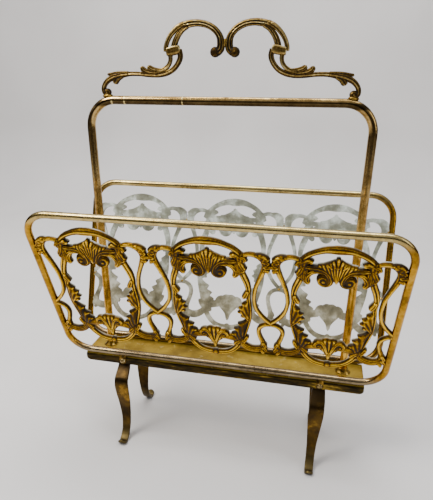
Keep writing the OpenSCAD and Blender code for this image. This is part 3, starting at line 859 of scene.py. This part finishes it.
def add_legs(material):
    line = resample(smooth(LEG_LINE, 6), 1.0)
    zs, ws = [q[0] for q in LEG_HALF], [q[1] for q in LEG_HALF]
    length = np.concatenate([[0], np.cumsum(np.hypot(*np.diff(line, axis=0).T))])
    tip = length[-1] - length
    rings = []
    for (y, z), left in zip(line, tip):
        half = float(np.interp(z, zs, ws))
        if left < TOE_R:
            half = min(half, max(math.sqrt(TOE_R ** 2 - (TOE_R - left) ** 2), TOE_LEAST))
        rings.append(strip_ring(half, LEG_T / 2, min(STRIP_EDGE_R, half * 0.6)))
    verts, faces = sweep(line, rings)
    for end in (LEFT, RIGHT):
        for side in (FRONT, REAR):
            placed = []
            for y, z, w in verts:
                x = LEG_FOOT_X + (LEG_TOP_X - LEG_FOOT_X) * z / SCREW_Z + w
                placed.append((x * end, y * side, max(z, 0.0)))
            name = f"leg_{SIDE_NAMES[side]}_{END_NAMES[end]}"
            mesh = new_mesh(name, placed, faces, Matrix.Scale(MM, 4))
            smooth_shade(mesh, 60)
            add_piece("strip_" + name, mesh, material, [name])


# ---------- fasteners and solder ----------


def dress_fasteners(screw, plain):
    """The CAD nodes of the small turned and cut pieces stay, with softened edges and a worn finish."""
    for name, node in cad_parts.items():
        if name.startswith(("frame_lug", "leg_screw", "leg_nut", "handle_washer", "handle_nut")):
            node.data.materials.clear()
            node.data.materials.append(screw if name.startswith("leg_screw") else plain)
            soften(node, 0.25, 40)


def lumpy(verts, centre, size, seed):
    """Moves points in and out from a centre by a smooth, repeatable wobble."""
    out = []
    for v in verts:
        d = Vector(v) - Vector(centre)
        a = math.atan2(d.y, d.x)
        wobble = math.sin(2 * a + seed) + 0.6 * math.sin(3 * a + 1.7 * seed + 2 * d.z)
        out.append(Vector(centre) + d * (1 + size * wobble))
    return out


# The pool of solder round a handle foot, as (radius, height)
COLLAR_PROFILE = [(0, 0.1), (8.6, 0.1), (8.2, 0.7), (7.2, 1.5), (6.2, 2.8), (5.4, 4.6), (4.9, 6.6),
                  (0, 6.8)]


def add_handle_collars(material):
    """The pool of solder at the foot of each handle upright."""
    for end in (LEFT, RIGHT):
        verts, faces = lathe(COLLAR_PROFILE, 40)
        verts = lumpy(verts, (0, 0, 2), 0.09, 1.3 + end)
        mesh = new_mesh(f"collar_{END_NAMES[end]}", verts, faces)
        mesh.transform(Matrix.Scale(MM, 4) @ Matrix.Translation((end * HANDLE_FOOT_X, 0, PLATE_Z)))
        smooth_shade(mesh, 60)
        add_piece(f"solder_collar_{END_NAMES[end]}", mesh, material)


def blob(name, centre, radii, seed, material, matrix):
    """A lump of braze with three half axes, at a place in the plane that the matrix stands for."""
    angles = [math.radians(-75 + 15 * k) for k in range(11)]
    profile = [(0, -1)] + [(math.cos(a), math.sin(a)) for a in angles] + [(0, 1)]
    verts, faces = lathe(profile, 20)
    mesh = new_mesh(name, lumpy(verts, (0, 0, 0), 0.1, seed), faces)
    mesh.transform(matrix @ Matrix.Translation(centre) @ Matrix.Diagonal((*radii, 1)))
    smooth_shade(mesh, 80)
    return add_piece(name, mesh, material)


# Where castings meet each other or, past one cartouche's width, the side frame: heights on the
# cartouche's grid, the places across in cartouche widths, and how far the braze runs up the joint
BRAZE_SPOTS = [(60.5, (-1.5, -0.5, 0.5, 1.5), 3), (141, (-0.5, 0.5, -1.5, 1.5), 2.6)]
SCROLL_FOOT_X = 134
ARCH_MEET_Z = 484


def add_braze(material):
    """Fillets of braze where the castings meet each other, the side frames and the handle rail."""
    spots = [(x, grid_y, along) for grid_y, places, along in BRAZE_SPOTS for x in places]
    for side in (FRONT, REAR):
        for k, (x, grid_y, along) in enumerate(spots):
            v = CARTOUCHE_GAP + grid_y * GRID_Y
            u = x * CARTOUCHE_W
            if abs(x) > 1:
                u = math.copysign(BOTTOM_X + (TOP_X - BOTTOM_X) * v / SLANT - ROD_R - 0.2, x)
            name = f"braze_{SIDE_NAMES[side]}_{k}"
            blob(name, (u, v, 0.2), (2.4, along, 2.6), 0.7 * k + side, material, panel_matrix(side))
    for end in (LEFT, RIGHT):
        place = (end * SCROLL_FOOT_X, HANDLE_Z + BAR_R - 0.2, 0)
        name = f"braze_scroll_{END_NAMES[end]}"
        blob(name, place, (5.4, 2.4, 3.4), 2.0 + end, material, UPRIGHT_PLANE)
    blob("braze_scroll_middle", (0, ARCH_MEET_Z, 0), (1.6, 4.4, 2.2), 0.4, material, UPRIGHT_PLANE)


# ---------- materials ----------


def linear(rgb):
    """An sRGB colour of 0 to 255 as a linear RGBA."""
    def channel(c):
        c = c / 255
        return c / 12.92 if c <= 0.04045 else ((c + 0.055) / 1.055) ** 2.4
    return tuple(channel(c) for c in rgb) + (1.0,)


class Nodes:
    """Short calls to build the node tree of a material or of the world."""

    def __init__(self, owner, output, coords):
        owner.use_nodes = True
        self.tree = owner.node_tree
        self.tree.nodes.clear()
        self.out = self.add(output)
        self.coords = self.add("ShaderNodeTexCoord").outputs[coords]

    def add(self, kind, inputs=None, **values):
        """A node with its settings, and with its inputs set to constants or linked to other nodes."""
        node = self.tree.nodes.new(kind)
        for key, value in values.items():
            setattr(node, key, value)
        for key, value in (inputs or {}).items():
            self.put(node.inputs[key], value)
        return node

    def put(self, socket, value):
        if isinstance(value, bpy.types.NodeSocket):
            self.tree.links.new(value, socket)
        else:
            socket.default_value = value

    def noise(self, size_mm, detail=3.0, rough=0.55, stretch=(1, 1, 1), distortion=0.0):
        """A noise whose features are about size_mm across."""
        place = self.add("ShaderNodeMapping", {"Scale": stretch, "Vector": self.coords})
        node = self.add("ShaderNodeTexNoise",
                        {"Vector": place.outputs[0], "Scale": 1 / (size_mm * MM), "Detail": detail,
                         "Roughness": rough, "Distortion": distortion})
        return node.outputs["Fac"]

    def math(self, operation, a, b=0.0, c=0.0, clamp=False):
        node = self.add("ShaderNodeMath", {0: a, 1: b, 2: c}, operation=operation, use_clamp=clamp)
        return node.outputs[0]

    def span(self, value, lo, hi, out_lo=0.0, out_hi=1.0):
        """Goes smoothly from one output to the other as the value goes from lo to hi."""
        ends = {"Value": value, "From Min": lo, "From Max": hi, "To Min": out_lo, "To Max": out_hi}
        return self.add("ShaderNodeMapRange", ends, interpolation_type="SMOOTHSTEP").outputs["Result"]

    def mix(self, fac, a, b):
        node = self.add("ShaderNodeMix", {"Factor": fac, "A": a, "B": b}, data_type="RGBA")
        return node.outputs["Result"]

    def ramp(self, fac, stops):
        """Colours by value, from stops of (value, sRGB colour)."""
        node = self.add("ShaderNodeValToRGB", {"Fac": fac})
        ramp = node.color_ramp
        while len(ramp.elements) < len(stops):
            ramp.elements.new(1.0)
        for element, (at, rgb) in zip(ramp.elements, stops):
            element.position = at
            element.color = linear(rgb)
        return node.outputs["Color"]

    def attribute(self, name):
        return self.add("ShaderNodeAttribute", attribute_name=name).outputs["Fac"]

    def axis(self, name):
        return self.add("ShaderNodeSeparateXYZ", {0: self.coords}).outputs[name]

    def zone(self, value, start_mm, full_mm, share=1.0):
        """From 0 to a share as a length in metres goes from the zone's start to where it is full."""
        return self.span(value, start_mm * MM, full_mm * MM, 0, share)

    def times(self, value, factor):
        return self.math("MULTIPLY", value, factor)

    def plus(self, a, b, clamp=False):
        return self.math("ADD", a, b, clamp=clamp)


class Finish(Nodes):
    """The node tree of one material, in the object's own metres."""

    def __init__(self, name):
        self.material = bpy.data.materials.new(name)
        super().__init__(self.material, "ShaderNodeOutputMaterial", "Object")

    def done(self, colour, metallic, roughness, bump, depth_mm):
        """Sets the surface and returns the material."""
        tilt = self.add("ShaderNodeBump", {"Strength": 1.0, "Distance": depth_mm * MM, "Height": bump})
        shader = self.add("ShaderNodeBsdfPrincipled",
                          {"Base Color": colour, "Metallic": metallic, "Roughness": roughness,
                           "Normal": tilt.outputs[0]})
        self.put(self.out.inputs["Surface"], shader.outputs[0])
        return self.material


def worn_level(n, blotch_mm, speck_mm, blotch_share, speck_share):
    """How rubbed a casting is, 0 to 1: its relief's own wear with blotches and specks added to it."""
    blotch = n.times(n.plus(n.noise(blotch_mm, 3), -0.5), blotch_share)
    speck = n.times(n.plus(n.noise(speck_mm, 4, 0.65), -0.5), speck_share)
    return n.plus(n.plus(n.attribute("wear"), blotch), speck, clamp=True)


def drawn_level(n, blotch, speck_mm, blotch_share):
    """How rubbed a rod or strip is: broad blotches with fine specks, which take the rest of the share."""
    speck = n.times(n.noise(speck_mm, 4, 0.65), 1 - blotch_share)
    return n.plus(n.times(blotch, blotch_share), speck)


# Height at which the castings' backs begin to turn from grey to gold, a painted reflection of the floor,
# and where they are most golden
BACK_GREY_Z, BACK_GOLD_Z = 235.0, 165.0
# Height above which the top rails are painted pale, a painted reflection of the overhead light
TOP_RAIL_SHEEN_Z = 298.0
# Heights between which the handle's uprights turn gold
UPRIGHT_DULL_Z, UPRIGHT_GOLD_Z = 360.0, 220.0
# Pale rings of old solder on the handle rail: (x, half width)
SOLDER_RINGS = [(-128, 1.4), (-113, 1.2), (-46, 0.9)]
# The legs' zones as (height where it starts, height where it is full)
SWELL_FROM_BELOW, SWELL_FROM_ABOVE = (35, 60), (100, 78)
SHOULDER_SHADE, TOE = (72, 83), (30, 4)


def cast_brass():
    """Cartouches: gilt ridges, brown patina in the hollows, and a flat grey back, lightened by a painted
    reflection of the overhead light and golden low down as a painted reflection of the floor.
    """
    n = Finish("cast_brass")
    level = worn_level(n, 24, 2.2, 0.5, 0.42)
    front = n.ramp(level, [(0.14, (28, 20, 8)), (0.32, (52, 36, 8)), (0.47, (92, 63, 7)),
                           (0.62, (156, 112, 12)), (0.86, (232, 186, 56))])
    grey = n.noise(18, 4, 0.6)
    # The back's grey is its own colour, lightened towards white here as a painted reflection of the
    # overhead light.
    back = n.ramp(grey, [(0.3, (100, 99, 80)), (0.48, (142, 144, 126)), (0.66, (216, 222, 212))])
    # Painted reflection: lower down the back is mixed towards gold, as the floor shows in it.
    low = n.zone(n.axis("Z"), BACK_GREY_Z, BACK_GOLD_Z, 0.4)
    back = n.mix(low, back, n.ramp(grey, [(0.3, (84, 68, 30)), (0.66, (168, 142, 84))]))
    flat = n.attribute("rear_face")
    metallic = n.plus(n.span(level, 0.2, 0.45, 0.5, 1.0), n.times(flat, -0.75), clamp=True)
    rough = n.plus(n.span(level, 0.25, 0.75, 0.55, 0.33), n.times(flat, 0.2))
    bump = n.plus(n.times(n.noise(2.2, 4, 0.65), 0.6), n.times(n.noise(0.6, 2), 0.2))
    return n.done(n.mix(flat, front, back), metallic, rough, bump, 0.3)


def scroll_brass():
    """Scrolls: darker than the cartouches, with bright rubbed edges."""
    n = Finish("scroll_brass")
    level = worn_level(n, 16, 2.0, 0.35, 0.4)
    colour = n.ramp(level, [(0.16, (12, 9, 5)), (0.36, (36, 26, 12)), (0.53, (98, 74, 34)),
                            (0.7, (176, 146, 80)), (0.9, (232, 216, 156))])
    rough = n.span(level, 0.25, 0.75, 0.55, 0.28)
    return n.done(colour, n.span(level, 0.2, 0.45, 0.5, 1.0), rough, n.noise(2.0, 4, 0.65), 0.25)


def rod_brass():
    """Side frames: rubbed gold with brown patina, with a painted pale reflection of the overhead light
    along the top rail and a painted grey reflection along the bottom one.
    """
    n = Finish("rod_brass")
    level = drawn_level(n, n.noise(34, 3, 0.6), 4, 0.65)
    colour = n.ramp(level, [(0.3, (62, 42, 10)), (0.42, (128, 92, 18)), (0.54, (174, 128, 30)),
                            (0.7, (212, 168, 70))])
    height = n.axis("Z")
    # Painted reflection: the top rail is mixed towards pale grey-gold, as the overhead light shows in it.
    high = n.zone(height, TOP_RAIL_SHEEN_Z, TOP_Z, 0.75)
    colour = n.mix(high, colour, n.ramp(level, [(0.34, (140, 118, 66)), (0.6, (216, 200, 140))]))
    # Painted reflection: the bottom rail is mixed towards grey, as the overhead light shows in it.
    low = n.zone(height, RAIL_Z + 4 * ROD_R, RAIL_Z, 0.75)
    colour = n.mix(low, colour, n.ramp(level, [(0.34, (56, 52, 42)), (0.62, (124, 122, 110))]))
    rough = n.span(level, 0.35, 0.65, 0.3, 0.15)
    return n.done(colour, 1.0, rough, n.noise(1.2, 3), 0.05)


def bar_brass():
    """Handle: duller and browner than the rods, golden low down, with painted shade under the rail, and
    with solder rings.
    """
    n = Finish("bar_brass")
    level = drawn_level(n, n.noise(40, 3, 0.6), 5, 0.6)
    colour = n.ramp(level, [(0.3, (82, 63, 32)), (0.42, (134, 106, 58)), (0.54, (180, 148, 90)),
                            (0.7, (216, 186, 126))])
    height = n.axis("Z")
    gold = n.ramp(level, [(0.32, (112, 76, 12)), (0.46, (170, 122, 24)), (0.62, (216, 168, 62))])
    colour = n.mix(n.zone(height, UPRIGHT_DULL_Z, UPRIGHT_GOLD_Z, 0.85), colour, gold)
    # Painted shade: the rail's lower half is painted near black, as the dark room shows in it.
    rail = n.zone(height, HANDLE_Z - 1.7 * BAR_R, HANDLE_Z - 1.1 * BAR_R)
    under = n.zone(height, HANDLE_Z + 0.8, HANDLE_Z - 0.6, 0.85)
    colour = n.mix(n.times(rail, under), colour, linear((26, 19, 10)))
    for x, wide in SOLDER_RINGS:
        off = n.math("ABSOLUTE", n.plus(n.axis("X"), -x * MM))
        ring = n.times(rail, n.zone(off, wide, 0.4 * wide, 0.7))
        colour = n.mix(ring, colour, linear((222, 200, 138)))
    rough = n.span(level, 0.35, 0.65, 0.26, 0.14)
    return n.done(colour, 1.0, rough, n.noise(1.4, 3), 0.06)


def sheet_brass():
    """Base plate: olive-gold sheet with pale splashes, and patina streaks along its lips."""
    n = Finish("sheet_brass")
    splash = n.noise(9, 4, 0.6, distortion=0.8)
    colour = n.ramp(n.noise(45, 4, 0.6), [(0.32, (106, 82, 18)), (0.5, (156, 126, 34)),
                                          (0.68, (190, 160, 58))])
    colour = n.mix(n.span(splash, 0.6, 0.68, 0, 0.4), colour, linear((206, 188, 128)))
    lip = n.zone(n.axis("Z"), PLATE_Z - 1.5, PLATE_Z - 3.5)
    streak = n.ramp(n.noise(7, 5, 0.7, stretch=(0.16, 1, 1)),
                    [(0.42, (24, 18, 7)), (0.56, (64, 50, 15)), (0.7, (180, 144, 50))])
    rough = n.plus(n.span(splash, 0.4, 0.7, 0.4, 0.5), n.times(lip, -0.12))
    return n.done(n.mix(lip, colour, streak), 0.9, rough, n.noise(1.5, 3), 0.08)


def leg_brass():
    """Legs: dark brown strip, rubbed gold over the swell, with painted shade at the shoulder below the
    plate's lip and a painted pale reflection on the toe.
    """
    n = Finish("leg_brass")
    height = n.axis("Z")
    swell = n.times(n.zone(height, *SWELL_FROM_BELOW), n.zone(height, *SWELL_FROM_ABOVE))
    patch = n.plus(n.times(n.noise(26, 3), 0.7), n.times(n.noise(5, 4, 0.6), 0.3))
    level = n.plus(n.times(swell, 0.14), patch)
    colour = n.ramp(level, [(0.36, (32, 22, 5)), (0.52, (58, 41, 11)), (0.67, (88, 64, 16)),
                            (0.83, (164, 122, 38))])
    # Painted shade: the shoulder, below the plate's lip, is painted dark.
    colour = n.mix(n.zone(height, *SHOULDER_SHADE, 0.85), colour, linear((38, 27, 10)))
    # Painted reflection: the toe is painted pale, as the overhead light shows on its upturned top.
    colour = n.mix(n.zone(height, *TOE, 0.6), colour, linear((98, 84, 48)))
    rough = n.span(level, 0.4, 0.8, 0.46, 0.26)
    return n.done(colour, 0.9, rough, n.noise(1.4, 3), 0.1)


def patchy_brass(name, patch_mm, stops, rough, depth_mm):
    """A small part's finish: colour stops and a range of roughness over patches of one size."""
    n = Finish(name)
    patch = n.noise(patch_mm, 3)
    return n.done(n.ramp(patch, stops), 1.0, n.span(patch, 0.3, 0.7, *rough), n.noise(0.8, 3), depth_mm)


def fastener_brass():
    """Solder and braze: pale brass with brown patina in patches."""
    stops = [(0.35, (70, 52, 18)), (0.5, (140, 108, 40)), (0.68, (204, 168, 84))]
    return patchy_brass("fastener_brass", 4, stops, (0.46, 0.3), 0.1)


def screw_brass():
    """Leg screws: rubbed bright heads with dirt in small patches."""
    stops = [(0.38, (58, 46, 24)), (0.52, (150, 126, 78)), (0.7, (214, 194, 142))]
    return patchy_brass("screw_brass", 1.8, stops, (0.4, 0.2), 0.06)


def lug_brass():
    """Lugs, nuts and washers: dark patina with a little brass showing."""
    stops = [(0.36, (34, 25, 9)), (0.52, (78, 58, 20)), (0.7, (156, 120, 48))]
    return patchy_brass("lug_brass", 4, stops, (0.5, 0.34), 0.1)


# ---------- stage, light and camera ----------

# The floor's near and far edge, the bend behind it, the backdrop's top and half the width, in metres
STAGE_NEAR, STAGE_FAR = -1.6, 0.95
STAGE_BEND = 0.3
STAGE_TOP = 2.2
STAGE_HALF_W = 2.2


def add_stage():
    """A pale floor that curves up into a plain backdrop."""
    line = [(STAGE_NEAR, 0.0), (0.0, 0.0)]
    line += [(STAGE_FAR + STAGE_BEND * math.sin(a), STAGE_BEND * (1 - math.cos(a)))
             for a in (math.pi / 2 * k / 16 for k in range(17))]
    line.append((STAGE_FAR + STAGE_BEND, STAGE_TOP))
    verts = [(x, y, z) for y, z in line for x in (-STAGE_HALF_W, STAGE_HALF_W)]
    faces = [(2 * i, 2 * i + 1, 2 * i + 3, 2 * i + 2) for i in range(len(line) - 1)]
    mesh = new_mesh("stage", verts, faces)
    mesh.shade_smooth()
    n = Finish("stage_paper")
    colour = n.ramp(n.noise(300, 2), [(0.3, (214, 211, 208)), (0.7, (222, 219, 216))])
    mesh.materials.append(n.done(colour, 0.0, 0.9, n.noise(2, 2), 0.05))
    stage = bpy.data.objects.new("stage", mesh)
    bpy.context.scene.collection.objects.link(stage)


def add_area(name, place, aim, size, power, colour):
    """A rectangular light with its place and aim in metres and its power in watts."""
    light = bpy.data.lights.new(name, "AREA")
    light.shape = "RECTANGLE"
    light.size, light.size_y = size
    light.energy = power
    light.color = colour
    lamp = bpy.data.objects.new(name, light)
    lamp.location = place
    lamp.rotation_euler = (Vector(aim) - Vector(place)).to_track_quat("-Z", "Y").to_euler()
    bpy.context.scene.collection.objects.link(lamp)


def add_lights():
    middle = (0, 0, 0.25)
    add_area("key", (-0.9, -0.55, 1.5), middle, (0.7, 0.7), 26, (1.0, 0.97, 0.93))
    add_area("fill", (1.6, -0.5, 1.0), middle, (0.5, 1.2), 6, (0.9, 0.94, 1.0))
    add_area("top", (0.1, 0.2, 1.8), middle, (1.6, 0.7), 16, (0.97, 0.98, 1.0))
    add_area("wall", (-0.3, 0.3, 2.0), (0.1, 1.3, 0.5), (1.4, 0.6), 14, (0.97, 0.97, 1.0))


# Room light by direction: (how far up or down, brightness), from straight down to straight up
ROOM_TONES = [(0.0, (120, 112, 104)), (0.46, (40, 34, 30)), (0.6, (58, 54, 52)), (0.74, (176, 178, 184)),
              (1.0, (232, 234, 240))]


def add_world():
    """Soft room light: dark at eye level, as the far side of a room is, and pale overhead."""
    world = bpy.data.worlds.new("room")
    bpy.context.scene.world = world
    n = Nodes(world, "ShaderNodeOutputWorld", "Generated")
    up = n.math("MULTIPLY_ADD", n.axis("Z"), 0.5, 0.5)
    background = n.add("ShaderNodeBackground", {"Color": n.ramp(up, ROOM_TONES), "Strength": 1.0})
    n.put(n.out.inputs["Surface"], background.outputs[0])


# The camera that fits the photo: metres, degrees and mm on a 36 mm sensor
SENSOR_W = 36
CAMERA_PLACE = (0.1081, -0.5334, 0.4429)
CAMERA_AZIMUTH, CAMERA_DOWN, CAMERA_ROLL = 12.23, 18.83, 0.40
CAMERA_LENS = 34.95


def add_camera():
    data = bpy.data.cameras.new("camera")
    data.sensor_width = SENSOR_W
    data.lens = CAMERA_LENS
    data.clip_start = 0.01
    camera = bpy.data.objects.new("camera", data)
    turn = Matrix.Rotation(math.radians(CAMERA_AZIMUTH), 4, "Z")
    tilt = Matrix.Rotation(math.radians(90 - CAMERA_DOWN), 4, "X")
    roll = Matrix.Rotation(math.radians(CAMERA_ROLL), 4, "Z")
    camera.matrix_world = Matrix.Translation(CAMERA_PLACE) @ turn @ tilt @ roll
    bpy.context.scene.collection.objects.link(camera)
    bpy.context.scene.camera = camera


def build():
    cast, fastener = cast_brass(), fastener_brass()
    add_cartouches(cast)
    add_scrolls(scroll_brass())
    add_side_frames(rod_brass())
    add_handle(bar_brass())
    add_plate(sheet_brass())
    add_legs(leg_brass())
    dress_fasteners(screw_brass(), lug_brass())
    add_handle_collars(fastener)
    add_braze(fastener)
    add_stage()
    add_lights()
    add_world()
    add_camera()


build()
